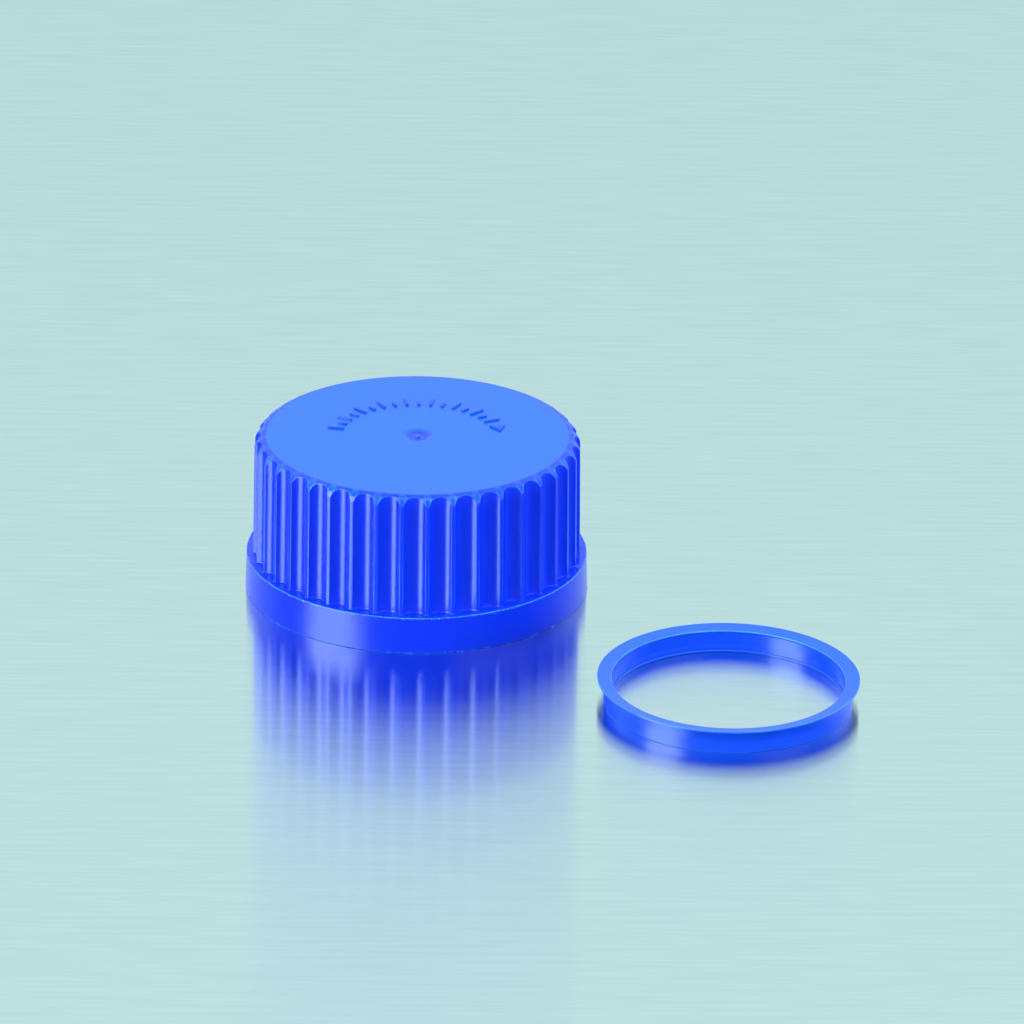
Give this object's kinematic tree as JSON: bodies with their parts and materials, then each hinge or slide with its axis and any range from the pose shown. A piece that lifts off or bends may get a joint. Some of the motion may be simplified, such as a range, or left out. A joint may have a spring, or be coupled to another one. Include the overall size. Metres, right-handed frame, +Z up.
{
  "type": "laboratory bottle screw closure with pouring ring",
  "caption": "Round screw closure with a fluted grip, a plain collar, an inner thread and a seal lip, lying beside the loose pouring ring with its flared drip lip.",
  "frame": {"origin": "on the surface that the pieces lie on, at the middle of the footprint of the cap and the ring together", "axes": "+Z up along the axes of the cap and the ring, +X to the right of a viewer who faces the pieces with the ring nearer, +Y away from that viewer"},
  "size_m": [0.0956, 0.0898, 0.0257],
  "materials": {
    "cap_polypropylene": "moulded, semi-gloss, dyed blue in the melt",
    "ring_polypropylene": "moulded, semi-gloss, dyed blue in the melt, slightly translucent at its thin lip"
  },
  "bodies": {
    "cap": {"screw_cap": "cap_polypropylene"},
    "ring": {"pouring_ring": "ring_polypropylene"}
  },
  "joints": [
    {"name": "ring_lift", "type": "slide", "parent": "cap", "child": "ring", "axis": [0, 0, 1], "range_m": [0, 0.06]}
  ]
}
